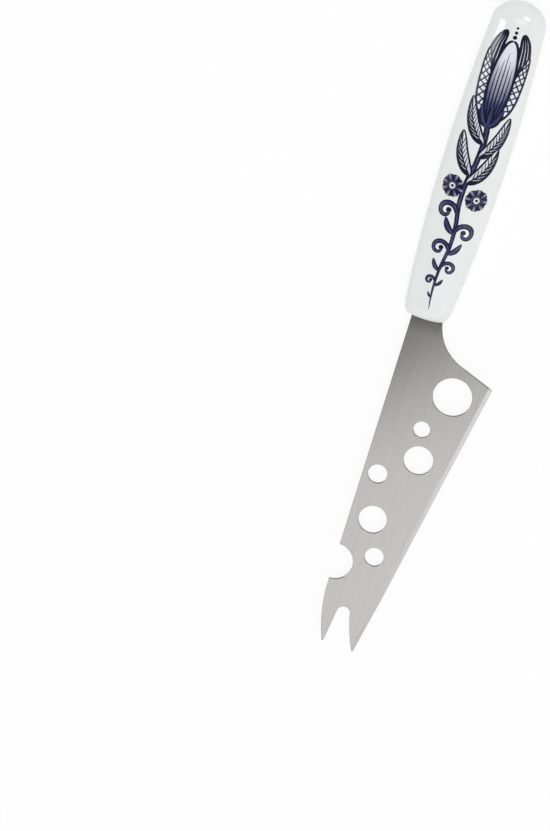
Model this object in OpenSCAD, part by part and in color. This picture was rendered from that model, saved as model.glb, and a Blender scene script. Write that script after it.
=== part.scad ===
// Cheese knife with a holed, forked blade cemented into a hollow glazed handle.
// The knife lies flat: +X points from the butt to the blade's points, +Y from the
// spine to the cutting edge, and +Z out of the decorated side of the handle.

/* [Blade] */
// Thickness of the steel sheet that the blade is stamped from
sheet_t = 1.5; // [1:0.1:2.4]
// Length of the blade from the handle's mouth to the long point
blade_length = 122.1; // [105:0.1:150]
// Distance of the straight spine from the handle's centre line
spine_offset = 5; // [4:0.1:5.4]
// Width of the neck where it leaves the handle
neck_w = 10.9; // [8.5:0.1:11.2]
// Distance from the mouth to the heel corner
heel_setback = 18.1; // [15:0.1:21]
// Depth of the blade from its spine to the heel corner
heel_depth = 34; // [30:0.1:38]
// Depth from the line of the spine to the long point
point_depth = 15; // [13.8:0.1:16.4]
// Radius of the hollow sweep between the neck and the heel
sweep_r = 16.7; // [14:0.1:18]
// Angle at which the sweep leaves the neck
sweep_start_angle = 8; // [4:1:14]

/* [Cutting edge] */
// Distance from the long point back to where the edge turns down to it
edge_turn_setback = 21.5; // [12:0.5:40]
// Depth from the line of the spine to the cutting edge at that turn
edge_turn_depth = 19.5; // [18.8:0.1:20]
// Width of the ground bevel on each face
bevel_w = 1.4; // [0.8:0.1:2]
// Thickness left at the cutting edge
edge_land = 0.2; // [0.1:0.05:0.4]

/* [Holes] */
// Diameter of the large hole at the heel
heel_hole_d = 13.6; // [8:0.1:15]
// Diameter of the small hole in front of it
small_hole_d = 5.8; // [3:0.1:7]
// Diameter of the hole near the cutting edge
edge_hole_d = 10.2; // [6:0.1:11]
// Diameter of the hole near the spine
spine_hole_d = 6.7; // [3:0.1:7.5]
// Diameter of the hole in the middle of the front half
middle_hole_d = 9.8; // [5:0.1:11]
// Diameter of the last hole before the notch
front_hole_d = 6.6; // [3:0.1:7]

/* [Notch and fork] */
// Radius of the round notch in the spine
notch_r = 6.4; // [4:0.1:6.8]
// Distance from the long point back to the middle of the notch
notch_setback = 29.2; // [28:0.1:31]
// Radius of the round throat between the two prongs
throat_r = 2.35; // [1.5:0.05:2.6]
// Distance from the long point back to the middle of the throat
throat_setback = 12.3; // [10:0.1:14]
// Depth from the line of the spine to the middle of the throat
throat_depth = 8.25; // [7.8:0.05:8.7]
// Depth from the line of the spine to the short point
short_point_depth = 4.15; // [3.6:0.05:4.6]
// How much shorter the short prong is than the long one
short_point_setback = 0.8; // [0.4:0.1:3]
// Width of the rounded end of each point
point_d = 0.8; // [0.5:0.05:1]

/* [Tang] */
// Length of the tang inside the handle
tang_length = 72; // [50:1:95]
// Width of the tang at the neck
tang_w = 6.4; // [5:0.1:7]
// Width of the tang at its end
tang_end_w = 5; // [4:0.1:5]
// Diameter of the two holes that key the tang into the cement
key_hole_d = 2.6; // [1.5:0.1:3]

/* [Handle] */
// Length of the handle from the butt to the mouth
handle_length = 117.1; // [105:0.1:135]
// Width of the handle at its belly
belly_w = 22.2; // [21:0.1:25]
// Thickness of the handle at its belly
belly_t = 16.5; // [15:0.1:20]
// Distance from the mouth back to the belly
belly_setback = 63.3; // [56:0.1:70]
// Radius of the long curve of the handle's side
side_r = 640; // [560:2:1200]
// Length of the rounded butt
butt_dome = 7.25; // [6:0.25:12]
// Width of the end face at the mouth
mouth_w = 12; // [11:0.1:13]
// Thickness of the end face at the mouth
mouth_t = 6.3; // [4.6:0.1:7.5]
// Distance by which the mouth lies nearer the spine than the middle of the butt
mouth_shift = 0.5; // [0:0.05:0.9]
// Length of the rounded shoulder behind the mouth
shoulder_reach = 5; // [3.5:0.1:6]

/* [Shell and cement] */
// Wall of the hollow handle
wall = 3; // [2.4:0.1:3.4]
// Length of the solid nose behind the mouth
nose_wall = 5; // [4:0.1:8]
// Length over which the hollow opens out behind the solid nose
hollow_lead = 9; // [6:0.5:12]
// Width of cement round the tang in the mouth slot
slot_clearance = 0.35; // [0.25:0.05:0.5]
// Gap that the cement leaves to the shell as it sets
cement_gap = 0.04; // [0.02:0.01:0.1]

/* [Hidden] */

// How far a cutting shape reaches past what it cuts
overrun = 1;
// Facet counts of the round holes, the handle's rings and the hollow's rings
hole_facets = 96;
shell_facets = 64;
hollow_facets = 40;
// Numbers of stations along the butt, the body, the shoulder and a curved edge
dome_steps = 12;
body_steps = 22;
shoulder_steps = 10;
curve_steps = 10;

spine_y = -spine_offset;
neck_y = spine_y + neck_w;
heel = [heel_setback, spine_y + heel_depth];
edge_turn = [blade_length - edge_turn_setback, spine_y + edge_turn_depth];
long_point = [blade_length - point_d / 2, spine_y + point_depth];
short_point = [long_point.x - short_point_setback, spine_y + short_point_depth];
point_r = [0, point_d / 2];
throat = [blade_length - throat_setback, spine_y + throat_depth];
notch = [blade_length - notch_setback, spine_y];
edge_slope = (edge_turn.y - heel.y) / (edge_turn.x - heel.x);

// Holes: place along the blade as a share of its length, place across it as a
// share of its depth there, and diameter
hole_place_shares = [[0.2, 0.661], [0.317, 0.495], [0.406, 0.602],
                     [0.479, 0.193], [0.611, 0.344], [0.715, 0.578]];
hole_diameters = [heel_hole_d, small_hole_d, edge_hole_d,
                  spine_hole_d, middle_hole_d, front_hole_d];
// Places of the key holes as shares of the tang's length
key_place_shares = [0.4, 0.8];
// Where the short prong starts to curve and where its control point lies, as
// shares of the way from the notch's far side to the short point
prong_start_share = 0.08;
prong_bend_share = 0.52;
// Where the long prong's inner edge bends, as shares of the way from the
// throat to the point along and across the blade
inner_bend_shares = [0.45, 0.27];

// Centre of the sweep's circle, and the angle at which its tangent meets the heel
sweep_centre = [-sweep_r * sin(sweep_start_angle), neck_y + sweep_r * cos(sweep_start_angle)];
sweep_to_heel = heel - sweep_centre;
sweep_end_angle = atan2(sweep_to_heel.y, sweep_to_heel.x) + asin(sweep_r / norm(sweep_to_heel));
sweep_end = sweep_centre + sweep_r * [sin(sweep_end_angle), -cos(sweep_end_angle)];

// Depth of the blade, from the spine to the cutting edge, at a distance from the mouth
function depth_at(x) = heel_depth + (x - heel.x) * edge_slope;
// Point of a quadratic curve from a to c that is drawn towards b
function curve_point(a, b, c, t) = (1 - t) * (1 - t) * a + 2 * t * (1 - t) * b + t * t * c;
function curve(a, b, c) = [for (i = [0 : curve_steps]) curve_point(a, b, c, i / curve_steps)];

prong_start = [notch.x + notch_r + prong_start_share * (short_point.x - notch.x - notch_r), spine_y];
prong_bend = [notch.x + notch_r + prong_bend_share * (short_point.x - notch.x - notch_r), spine_y];
prong_outer = curve(prong_start, prong_bend, short_point - point_r);
throat_top = throat - [0, throat_r];
throat_low = throat + [0, throat_r];
inner_bend = throat_low + [inner_bend_shares[0] * (long_point.x - throat_low.x),
                           inner_bend_shares[1] * (long_point.y - throat_low.y)];
prong_inner = curve(throat_low, inner_bend, long_point - point_r);

// Rounds an end off along a quarter ellipse: 1 where it starts, 0 at share 1
function round_off(share) = sqrt(max(0, 1 - pow(max(0, share), 2)));

// Middle of the handle across the knife, which bows from the butt to the mouth
function middle_y(x) = -mouth_shift * pow((x + handle_length) / handle_length, 2);
// Half width of the handle's body before its ends are rounded off
function body_half_w(x) = belly_w / 2 - pow(x + belly_setback, 2) / (2 * side_r);
function body_half_t(x) = body_half_w(x) * belly_t / belly_w;
// Part of the shoulder's depth that is taken off, from 0 at the body to 1 at the mouth
function shoulder(x) = 1 - round_off(1 + x / shoulder_reach);
function dome(x) = round_off((handle_start - x) / butt_dome);
function half_w(x) = dome(x) * (body_half_w(x) - (body_half_w(0) - mouth_w / 2) * shoulder(x));
function half_t(x) = dome(x) * (body_half_t(x) - (body_half_t(0) - mouth_t / 2) * shoulder(x));

handle_start = butt_dome - handle_length;
dome_places = [for (i = [1 : dome_steps]) handle_start - butt_dome * cos(90 * i / dome_steps)];
body_places = [for (i = [1 : body_steps])
    handle_start - (shoulder_reach + handle_start) * i / body_steps];
shoulder_places = [for (i = [1 : shoulder_steps])
    shoulder_reach * (sin(90 * i / shoulder_steps) - 1)];
shell_rings = [for (x = concat(dome_places, body_places, shoulder_places))
    [x, middle_y(x), half_w(x), half_t(x)]];

// Hollow: its rise from the pole at the butt, and its fall to the slot at the nose
hollow_back = wall - handle_length;
hollow_front = -nose_wall;
hollow_dome = butt_dome;
slot_w = tang_w + 2 * slot_clearance;
slot_t = sheet_t + 2 * slot_clearance;
function hollow_swell(x) = round_off(1 - (x - hollow_back) / hollow_dome);
function hollow_neck(x) = round_off(1 - (hollow_front - x) / hollow_lead);
function hollow_half_w(x, gap) =
    (slot_w / 2 + (body_half_w(x) - wall - slot_w / 2) * hollow_neck(x)) * hollow_swell(x) - gap;
function hollow_half_t(x, gap) =
    (slot_t / 2 + (body_half_t(x) - wall - slot_t / 2) * hollow_neck(x)) * hollow_swell(x) - gap;
hollow_places = concat(
    [for (i = [1 : dome_steps / 2]) hollow_back + hollow_dome * (1 - cos(90 * i / (dome_steps / 2)))],
    [for (i = [1 : body_steps / 2]) hollow_back + hollow_dome
        + (hollow_front - hollow_lead - hollow_back - hollow_dome) * i / (body_steps / 2)],
    [for (i = [1 : dome_steps / 2]) hollow_front - hollow_lead * cos(90 * i / (dome_steps / 2))]);

// Moves the knife so that it lies on z = 0 under the middle of its outline
handle_low_y = min([for (ring = shell_rings) ring[1] - ring[2]]);
lie_flat = [(handle_length - blade_length) / 2, -(handle_low_y + heel.y) / 2, belly_t / 2];

// Closed solid through a pole and the rings [place, middle, half width, half thickness]
module loft(pole, rings, facets) {
    n = len(rings);
    points = concat([[pole, middle_y(pole), 0]], [for (r = rings, i = [0 : facets - 1])
        [r[0], r[1] + r[2] * cos(360 * i / facets), r[3] * sin(360 * i / facets)]]);
    tip_faces = [for (i = [0 : facets - 1]) [0, 1 + i, 1 + (i + 1) % facets]];
    side_faces = [for (k = [0 : n - 2], i = [0 : facets - 1], half = [0, 1])
        let (a = 1 + k * facets + i, b = 1 + k * facets + (i + 1) % facets)
        half == 0 ? [a, a + facets, b] : [b, a + facets, b + facets]];
    end_face = [for (i = [facets - 1 : -1 : 0]) 1 + (n - 1) * facets + i];
    polyhedron(points, concat(tip_faces, side_faces, [end_face]), convexity = 4);
}

module hollow(gap) {
    loft(hollow_back + gap,
         [for (x = hollow_places)
             [x, middle_y(x) * hollow_neck(x), hollow_half_w(x, gap), hollow_half_t(x, gap)]],
         hollow_facets);
}

// Slot through the nose, from inside the hollow to the mouth
module mouth_slot(gap, reach) {
    translate([hollow_front - hollow_lead, gap - slot_w / 2, gap - slot_t / 2])
        cube([hollow_lead - hollow_front + reach, slot_w - 2 * gap, slot_t - 2 * gap]);
}

module tang_outline() {
    end_r = tang_end_w / 2;
    difference() {
        union() {
            polygon([[0, -tang_w / 2], [0, tang_w / 2],
                     [end_r - tang_length, end_r], [end_r - tang_length, -end_r]]);
            translate([end_r - tang_length, 0])
                circle(r = end_r, $fn = hole_facets);
        }
        for (share = key_place_shares)
            translate([-share * tang_length, 0])
                circle(d = key_hole_d, $fn = hole_facets);
    }
}

module blade_outline() {
    difference() {
        union() {
            polygon(concat([[0, spine_y]], prong_outer, [short_point + point_r, throat_top],
                           prong_inner, [long_point + point_r, edge_turn, heel, sweep_end, [0, neck_y]]));
            for (point = [short_point, long_point])
                translate(point)
                    circle(d = point_d, $fn = hole_facets);
        }
        translate(sweep_centre)
            circle(r = sweep_r, $fn = hole_facets);
        translate(notch)
            circle(r = notch_r, $fn = hole_facets);
        translate(throat)
            circle(r = throat_r, $fn = hole_facets);
        for (i = [0 : len(hole_diameters) - 1]) {
            x = hole_place_shares[i][0] * blade_length;
            translate([x, spine_y + hole_place_shares[i][1] * depth_at(x)])
                circle(d = hole_diameters[i], $fn = hole_facets);
        }
    }
}

// Block that grinds the bevel off the upper face along one stretch of the edge
module bevel_block(from, to, lead) {
    run = to - from;
    bevel_angle = atan2((sheet_t - edge_land) / 2, bevel_w);
    translate([from.x, from.y, edge_land / 2])
        rotate([-bevel_angle, 0, atan2(run.y, run.x)])
            translate([-lead, -2 * bevel_w, 0])
                cube([lead + norm(run) + point_d, 4 * bevel_w, sheet_t]);
}

module bevel_side() {
    bevel_block(heel, edge_turn, 2 * bevel_w);
    bevel_block(edge_turn, long_point + point_r, 0);
}

module blade_solid() {
    difference() {
        translate([0, 0, -sheet_t / 2])
            linear_extrude(sheet_t) {
                blade_outline();
                tang_outline();
            }
        bevel_side();
        mirror([0, 0, 1])
            bevel_side();
    }
}

module blade() {
    color("silver")
        translate(lie_flat)
            blade_solid();
}

module handle() {
    color("white")
        translate(lie_flat)
            difference() {
                loft(-handle_length, shell_rings, shell_facets);
                hollow(0);
                mouth_slot(0, overrun);
            }
}

module tang_cement() {
    color("gainsboro")
        translate(lie_flat)
            difference() {
                union() {
                    hollow(cement_gap);
                    mouth_slot(cement_gap, 0);
                }
                translate([0, 0, -sheet_t / 2])
                    linear_extrude(sheet_t)
                        tang_outline();
            }
}

blade();
handle();
tang_cement();
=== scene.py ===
"""Cheese knife: its finishes, fine shapes and painted ornament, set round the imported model.

Until a mesh is written, lengths are in millimetres in the knife's own axes: x runs from the handle's
mouth to the points of the blade, y from the middle of the tang to the cutting edge, and z out of the
decorated side, from the middle of the blade's thickness.
"""
import logging
import math
from dataclasses import dataclass, field
from enum import Enum
from typing import Iterable, Mapping, Sequence

import bpy
import numpy as np
from mathutils import Matrix, Quaternion, Vector
from mathutils.geometry import delaunay_2d_cdt


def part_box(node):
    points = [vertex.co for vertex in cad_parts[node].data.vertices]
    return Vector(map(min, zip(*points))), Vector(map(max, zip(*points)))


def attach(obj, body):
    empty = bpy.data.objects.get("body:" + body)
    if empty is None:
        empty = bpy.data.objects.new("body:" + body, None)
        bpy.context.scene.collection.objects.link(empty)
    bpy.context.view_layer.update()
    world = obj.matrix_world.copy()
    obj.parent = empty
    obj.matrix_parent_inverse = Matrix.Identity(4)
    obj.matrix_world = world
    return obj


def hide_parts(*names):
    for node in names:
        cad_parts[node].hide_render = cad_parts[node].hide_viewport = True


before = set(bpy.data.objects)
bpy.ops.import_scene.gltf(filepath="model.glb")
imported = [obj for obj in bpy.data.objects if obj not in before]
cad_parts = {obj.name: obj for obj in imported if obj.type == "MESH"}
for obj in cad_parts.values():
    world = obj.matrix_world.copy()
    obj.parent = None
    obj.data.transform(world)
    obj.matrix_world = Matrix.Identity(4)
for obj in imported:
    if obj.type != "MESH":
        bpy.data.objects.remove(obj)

LOG = logging.getLogger("cheese_knife")
BODY = "root"
MM = 0.001
FULL_TURN = 2 * math.pi
# Distance from the blade's straight spine to the knife's axis
SPINE_OFFSET = 5.0
# Squareness of a ring: 2 makes it an ellipse, and a large number nearly a rectangle
OVAL, OBLONG = 2.0, 30.0
# Name of the mesh attribute that says how much paint lies at a point
LOAD = "load"
# Sockets of a Mix node that mixes colours
MIX_SHARE, MIX_FIRST, MIX_SECOND, MIX_RESULT = 0, 6, 7, 2
# The kind of triangulation that keeps only what lies inside the outlines
FILL_INSIDE = 1

Place = tuple[float, float]
Colour = tuple[float, float, float]


class FaceKind(Enum):
    """What a face of the blade is, which is also its place in the blade's list of materials."""

    SHEET = 0
    BEVEL = 1
    SHEARED = 2


class Tone(Enum):
    """The two strengths of blue that the ornament is painted in."""

    WASH = "ornament_wash"
    LINE = "ornament_line"


@dataclass(frozen=True)
class KnifeFrame:
    """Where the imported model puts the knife, read from the boxes of its nodes.

    Args:
        mouth: The middle of the handle's mouth in the row frame, in millimetres.
        blade: Low and high corners of the blade, from the mouth.
        handle: Low and high corners of the handle, from the mouth.
    """

    mouth: np.ndarray
    blade: np.ndarray
    handle: np.ndarray

    @classmethod
    def read(cls) -> "KnifeFrame":
        """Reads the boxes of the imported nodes.

        Returns:
            The frame, whose axis runs through the tang in the blade's mid-plane.
        """
        blade = np.array(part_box("blade")) / MM
        handle = np.array(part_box("handle")) / MM
        mouth = np.array([handle[1, 0], blade[0, 1] + SPINE_OFFSET, blade[:, 2].mean()])
        return cls(mouth, blade - mouth, handle - mouth)

    def to_row(self, points: np.ndarray) -> np.ndarray:
        """Points from the mouth, in millimetres, as metres in the row frame."""
        return (points + self.mouth) * MM


def shares(count: int) -> np.ndarray:
    """Evenly spaced shares from 0 to 1, both included, count steps apart."""
    return np.linspace(0.0, 1.0, count + 1)


def quarter(count: int) -> np.ndarray:
    """Evenly spaced angles over a quarter turn, both ends included, count steps apart."""
    return shares(count) * math.pi / 2


def round_off(share: np.ndarray) -> np.ndarray:
    """A quarter ellipse, sqrt(1 - share^2): 1 up to share 0, and 0 at share 1."""
    return np.sqrt(np.clip(1 - np.clip(share, 0, 1) ** 2, 0, 1))


def unit(ways: np.ndarray) -> np.ndarray:
    """Each way divided by its own length."""
    return ways / np.linalg.norm(ways, axis=-1, keepdims=True)


def turned(ways: np.ndarray) -> np.ndarray:
    """Flat ways after a quarter turn anticlockwise: (x, y) becomes (-y, x)."""
    return np.stack([-ways[..., 1], ways[..., 0]], axis=-1)


def steps(curve: np.ndarray) -> np.ndarray:
    """The distance from each point of a curve to the next."""
    return np.linalg.norm(np.diff(curve, axis=0), axis=1)


def normals(path: np.ndarray) -> np.ndarray:
    """The unit way to the left of a flat path at each of its points."""
    return turned(unit(np.gradient(path, axis=0)))


def read_off(at: np.ndarray, run: np.ndarray, rows: np.ndarray) -> np.ndarray:
    """Rows read off between their places on a run, at other places on it."""
    return np.column_stack([np.interp(at, run, axis) for axis in rows.T])


def arc(centre: np.ndarray, radius: float, start: float, end: float, step: float = 0.3) -> np.ndarray:
    """Points along a circular arc: centre + radius * (cos a, sin a), with a from start to end.

    Args:
        centre: The circle's centre.
        radius: The circle's radius.
        start: The first angle in degrees.
        end: The last angle in degrees. It is the smaller one on a clockwise arc.
        step: The longest distance between two points.

    Returns:
        An array of points, both ends included.
    """
    sweep = math.radians(end - start)
    count = max(4, math.ceil(abs(sweep) * radius / step))
    angle = math.radians(start) + sweep * shares(count)
    return centre + radius * np.column_stack([np.cos(angle), np.sin(angle)])


def bezier(a: Sequence[float], b: Sequence[float], c: Sequence[float], count: int) -> np.ndarray:
    """Points (1-t)^2 a + 2t(1-t) b + t^2 c for count + 1 even steps of t from 0 to 1."""
    t = shares(count)[:, None]
    return (1 - t) ** 2 * np.asarray(a) + 2 * t * (1 - t) * np.asarray(b) + t**2 * np.asarray(c)


def through(points: Sequence[Sequence[float]], step: float) -> np.ndarray:
    """A smooth curve through the given points.

    Each stretch is a cubic that leaves a point along the line between its two neighbours: with
    p the two ends and m half the distances across them,
    (2t^3-3t^2+1) p0 + (t^3-2t^2+t) m0 + (3t^2-2t^3) p1 + (t^3-t^2) m1.

    Args:
        points: The points to pass through, at least two.
        step: The longest distance between two points of the result, roughly.

    Returns:
        An array of points along the curve, both ends included.
    """
    p = np.asarray(points, float)
    slope = np.gradient(p, axis=0)
    count = max(2, math.ceil(steps(p).max() / step))
    t = shares(count)[:-1][None, :, None]
    a, b, ma, mb = (v[:, None, :] for v in (p[:-1], p[1:], slope[:-1], slope[1:]))
    curve = (2 * t**3 - 3 * t**2 + 1) * a + (t**3 - 2 * t**2 + t) * ma
    curve = curve + (3 * t**2 - 2 * t**3) * b + (t**3 - t**2) * mb
    return np.vstack([curve.reshape(-1, p.shape[1]), p[-1:]])


def evenly(curve: np.ndarray, count: int) -> np.ndarray:
    """The same curve with its points at even distances along it.

    Args:
        curve: The curve.
        count: How many steps the result has.

    Returns:
        An array of count + 1 points, both ends included.
    """
    run = np.concatenate([[0.0], np.cumsum(steps(curve))])
    return read_off(shares(count) * run[-1], run, curve)


def enclosed(points: np.ndarray, loops: Iterable[np.ndarray]) -> np.ndarray:
    """Whether each point lies inside an odd number of the loops.

    A level line from the point crosses the sides of the loops to its right, and the count of the
    crossings is odd inside.

    Args:
        points: The points to test.
        loops: Closed outlines.

    Returns:
        One truth value a point.
    """
    crossings = np.zeros(len(points), int)
    x, y = points[:, :1], points[:, 1:]
    for loop in loops:
        a, b = loop[None], np.roll(loop, -1, axis=0)[None]
        spans = (a[..., 1] > y) != (b[..., 1] > y)
        rise = np.where(spans, b[..., 1] - a[..., 1], 1.0)
        meets = a[..., 0] + (y - a[..., 1]) * (b[..., 0] - a[..., 0]) / rise
        crossings += (spans & (x < meets)).sum(axis=1)
    return crossings % 2 == 1


def ring_faces(rows: int, around: int) -> np.ndarray:
    """Quads between rows of a tube whose rings have the same number of points.

    Args:
        rows: How many rings the tube has.
        around: How many points a ring has.

    Returns:
        An array of four vertex numbers a face, with ring r starting at vertex r * around.
    """
    row, col = np.meshgrid(np.arange(rows - 1), np.arange(around), indexing="ij")
    here = (row * around + col).ravel()
    side = (row * around + (col + 1) % around).ravel()
    return np.column_stack([here, side, side + around, here + around])


@dataclass
class Mesh:
    """Points and faces of a piece before Blender gets them.

    Args:
        points: One row of three millimetres a vertex, from the mouth.
        faces: Arrays of faces, each with its own number of corners.
    """

    points: np.ndarray
    faces: list[np.ndarray]

    def volume(self) -> float:
        """The signed volume, from the fans of all faces: sum of a . (b x c) / 6.

        Returns:
            Cubic millimetres, above zero where the faces point outwards.
        """
        total = 0.0
        for block in self.faces:
            corner = self.points[block]
            for k in range(1, block.shape[1] - 1):
                cross = np.cross(corner[:, k], corner[:, k + 1])
                total += float((corner[:, 0] * cross).sum()) / 6
        return total

    def outward(self) -> "Mesh":
        """Turns every face over if the volume comes out negative.

        Returns:
            The mesh whose faces point outwards.
        """
        if self.volume() < 0:
            return Mesh(self.points, [block[:, ::-1] for block in self.faces])
        return self


def linked(name: str, data: bpy.types.ID) -> bpy.types.Object:
    """Puts data into the scene.

    Args:
        name: The object's name.
        data: A mesh, a lamp or a camera.

    Returns:
        The new object, at the origin.
    """
    made = bpy.data.objects.new(name, data)
    bpy.context.scene.collection.objects.link(made)
    return made


def add_object(name: str, mesh: Mesh, where: KnifeFrame,
               materials: Iterable[bpy.types.Material]) -> bpy.types.Object:
    """Writes a mesh into a Blender object at the origin, riding on the knife.

    Args:
        name: The piece's name.
        mesh: Its points and faces.
        where: The frame that places it.
        materials: Its materials, in the order of their slots.

    Returns:
        The new object.
    """
    data = bpy.data.meshes.new(name)
    faces = [face for block in mesh.faces for face in block.tolist()]
    data.from_pydata(where.to_row(mesh.points).tolist(), [], faces)
    for material in materials:
        data.materials.append(material)
    data.update()
    piece = linked(name, data)
    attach(piece, BODY)
    LOG.info("%s: %d points, %d faces", name, len(data.vertices), len(data.polygons))
    return piece


class Socket:
    """A number that flows between shader nodes, with the sums that this file writes on it."""

    def __init__(self, shader: "Shader", socket: bpy.types.NodeSocket) -> None:
        """Wraps a node's output socket."""
        self.shader = shader
        self.socket = socket

    def _math(self, operation: str, first: object, second: object) -> "Socket":
        """Adds a Math node and returns its result."""
        node = self.shader.node("ShaderNodeMath", {"operation": operation}, {0: first, 1: second})
        return Socket(self.shader, node.outputs[0])

    def __add__(self, other: object) -> "Socket":
        """self + other."""
        return self._math("ADD", self, other)

    __radd__ = __add__

    def __sub__(self, other: object) -> "Socket":
        """self - other."""
        return self._math("SUBTRACT", self, other)

    def __rsub__(self, other: object) -> "Socket":
        """other - self."""
        return self._math("SUBTRACT", other, self)

    def __mul__(self, other: object) -> "Socket":
        """self * other."""
        return self._math("MULTIPLY", self, other)

    __rmul__ = __mul__

    def at_least(self, other: object) -> "Socket":
        """The larger of self and other."""
        return self._math("MAXIMUM", self, other)

    def at_most(self, other: object) -> "Socket":
        """The smaller of self and other."""
        return self._math("MINIMUM", self, other)

    def clipped(self) -> "Socket":
        """Self, held between 0 and 1."""
        return self.at_least(0.0).at_most(1.0)


class Shader:
    """A material under construction."""

    def __init__(self, tree: bpy.types.NodeTree) -> None:
        """Empties the node tree and keeps it."""
        self.tree = tree
        tree.nodes.clear()

    @classmethod
    def material(cls, name: str) -> tuple["Shader", bpy.types.Material]:
        """Starts a new material.

        Args:
            name: The material's name.

        Returns:
            The shader that fills it, and the material.
        """
        made = bpy.data.materials.new(name)
        made.use_nodes = True
        return cls(made.node_tree), made

    def node(self, kind: str, settings: Mapping[str, object],
             inputs: Mapping[object, object]) -> bpy.types.Node:
        """Adds one node.

        Args:
            kind: The node's type.
            settings: Its properties, which are set first.
            inputs: Values or links of its sockets, by name or number.

        Returns:
            The node.
        """
        made = self.tree.nodes.new(kind)
        for key, value in settings.items():
            setattr(made, key, value)
        for key, value in inputs.items():
            source = value.socket if isinstance(value, Socket) else value
            if isinstance(source, bpy.types.NodeSocket):
                self.tree.links.new(source, made.inputs[key])
            else:
                made.inputs[key].default_value = source
        return made

    def output(self, kind: str, name: str) -> Socket:
        """One result of a node that needs no settings and no inputs."""
        return Socket(self, self.node(kind, {}, {}).outputs[name])

    def grain(self, scale: Sequence[float], turn: float = 0.0, detail: float = 2.0) -> Socket:
        """Noise between 0 and 1 in object space.

        Args:
            scale: Grains to a metre along each axis.
            turn: How far the grain is turned about Z, in radians.
            detail: How many finer layers the noise has.

        Returns:
            The noise.
        """
        place = self.output("ShaderNodeTexCoord", "Object")
        about_z = {"rotation_type": "Z_AXIS"}
        spun = self.node("ShaderNodeVectorRotate", about_z, {"Vector": place, "Angle": turn})
        product = {"operation": "MULTIPLY"}
        scaled = self.node("ShaderNodeVectorMath", product, {0: spun.outputs[0], 1: scale})
        inputs = {"Vector": scaled.outputs[0], "Scale": 1.0, "Detail": detail}
        return Socket(self, self.node("ShaderNodeTexNoise", {}, inputs).outputs["Fac"])

    def place(self, axis: str) -> Socket:
        """One coordinate in object space, in metres."""
        whole = self.output("ShaderNodeTexCoord", "Object")
        return Socket(self, self.node("ShaderNodeSeparateXYZ", {}, {0: whole}).outputs[axis])

    def blend(self, share: Socket, first: Colour,
              second: Colour | bpy.types.NodeSocket) -> bpy.types.NodeSocket:
        """Mixes two colours.

        Args:
            share: How far the result lies on the way to the second.
            first: The first colour.
            second: The second colour, or the socket that it comes from.

        Returns:
            The socket of the mixed colour.
        """
        last = second if isinstance(second, bpy.types.NodeSocket) else (*second, 1.0)
        inputs = {MIX_SHARE: share, MIX_FIRST: (*first, 1.0), MIX_SECOND: last}
        return self.node("ShaderNodeMix", {"data_type": "RGBA"}, inputs).outputs[MIX_RESULT]

    def bump(self, height: Socket, depth: float) -> bpy.types.NodeSocket:
        """The normal of a surface raised by height times depth, in metres."""
        node = self.node("ShaderNodeBump", {}, {"Height": height, "Distance": depth, "Strength": 1.0})
        return node.outputs["Normal"]

    def principled(self, inputs: Mapping[object, object]) -> None:
        """Ends the material in a Principled shader with these inputs."""
        surface = self.node("ShaderNodeBsdfPrincipled", {}, inputs)
        self.node("ShaderNodeOutputMaterial", {}, {"Surface": surface.outputs["BSDF"]})


@dataclass(frozen=True)
class BrushedSteel:
    """Stainless steel with fine parallel scratches and broader streaks of the same run.

    Args:
        name: The material's name.
        dark: Colour in the deepest scratches.
        light: Colour between them.
        roughness: How rough it is on average.
        streak: Scratches to a metre along and across the grain.
        turn: How far the grain is turned from the X axis, in radians.
        depth: Height of the scratches in metres.
        contrast: How far the scratches swing the colour between the two.
        broad: Share of the broader streaks in the pattern.
        broad_scale: How many of them there are to one scratch.
        uneven: How far the pattern swings the roughness.
        joint: Where the handle's mouth is on the X axis, in metres, from which the painted shade spreads, or
            None for no painted shade.
        painted_shade: Painted shade at the mouth, two ramps that darken the colour towards black in place of
        the handle's shade and dark reflections there: the share of the colour that each leaves at the
        mouth, and how far it reaches, in metres.
    """

    name: str
    dark: Colour
    light: Colour
    roughness: float
    streak: tuple[float, float]
    turn: float = 0.0
    depth: float = 3e-6
    contrast: float = 2.4
    broad: float = 0.22
    broad_scale: float = 0.3
    uneven: float = 0.08
    joint: float | None = None
    painted_shade: tuple[tuple[float, float], ...] = ((0.5, 0.0091), (0.84, 0.056))

    def build(self) -> bpy.types.Material:
        """Makes the material: two layers of streaks drive its colour, roughness and bump, and where a joint
        is given, painted shade darkens the colour towards the handle's mouth.

        Returns:
            The material.
        """
        shader, made = Shader.material(self.name)
        scale = np.array([self.streak[0], self.streak[1], self.streak[1]])
        fine = shader.grain(scale, self.turn, detail=3.0)
        broad = shader.grain(scale * self.broad_scale, self.turn)
        streaks = fine * (1 - self.broad) + broad * self.broad
        colour = shader.blend(((streaks - 0.5) * self.contrast + 0.5).clipped(), self.dark, self.light)
        # Painted shade: two ramps darken the colour towards black near the handle's mouth, in place of the
        # handle's shade and the dark reflections there
        if self.joint is not None:
            away = (shader.place("X") - self.joint).at_least(0.0)
            near, far = (away * ((1 - share) / reach) + share for share, reach in self.painted_shade)
            colour = shader.blend(near.at_most(far).at_most(1.0), (0.0, 0.0, 0.0), colour)
        shader.principled({
            "Base Color": colour,
            "Metallic": 1.0,
            "Roughness": self.roughness + self.uneven * (0.5 - streaks),
            "Normal": shader.bump(streaks, self.depth),
        })
        return made


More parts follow.
